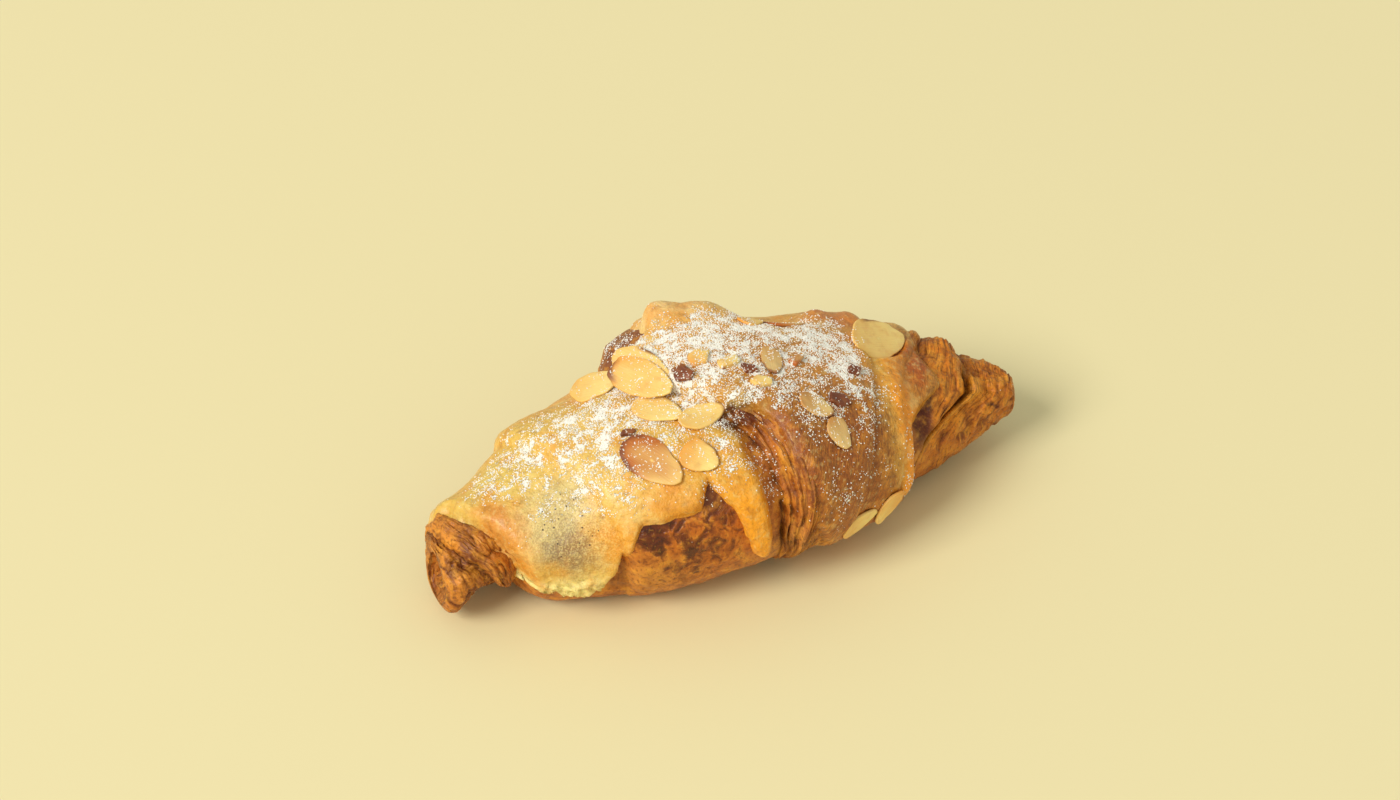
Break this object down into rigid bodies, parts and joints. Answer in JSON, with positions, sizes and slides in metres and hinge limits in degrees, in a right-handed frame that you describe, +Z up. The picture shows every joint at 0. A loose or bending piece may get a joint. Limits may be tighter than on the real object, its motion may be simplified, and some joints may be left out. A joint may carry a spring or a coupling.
{
  "type": "almond croissant",
  "caption": "Baked almond croissant: a rolled flaky pastry with blunt bare ends, under a golden sheet of almond cream strewn with sliced almonds and icing sugar.",
  "frame": {"origin": "centre of the bounding box, on the surface that the croissant lies on", "axes": "+X along the roll from its left tip to its right tip, -Y to the front with the bare band, +Z up"},
  "size_m": [0.1742, 0.0824, 0.0585],
  "materials": {
    "crust": "flaky baked crust, browned and mottled",
    "almond_cream": "baked almond cream, golden and slightly rough",
    "almond": "sliced almond, satin, toasted at the edges",
    "icing_sugar": "fine white powder"
  },
  "bodies": {
    "root": {"pastry": "crust", "almond_cream": "almond_cream", "almond_slice_01": "almond", "almond_slice_02": "almond", "almond_slice_03": "almond", "almond_slice_04": "almond", "almond_slice_05": "almond", "almond_slice_06": "almond", "almond_slice_07": "almond", "almond_slice_08": "almond", "almond_slice_09": "almond", "almond_slice_10": "almond", "almond_slice_11": "almond", "almond_slice_12": "almond", "almond_slice_13": "almond", "almond_slice_14": "almond", "almond_slice_15": "almond"}
  },
  "joints": []
}
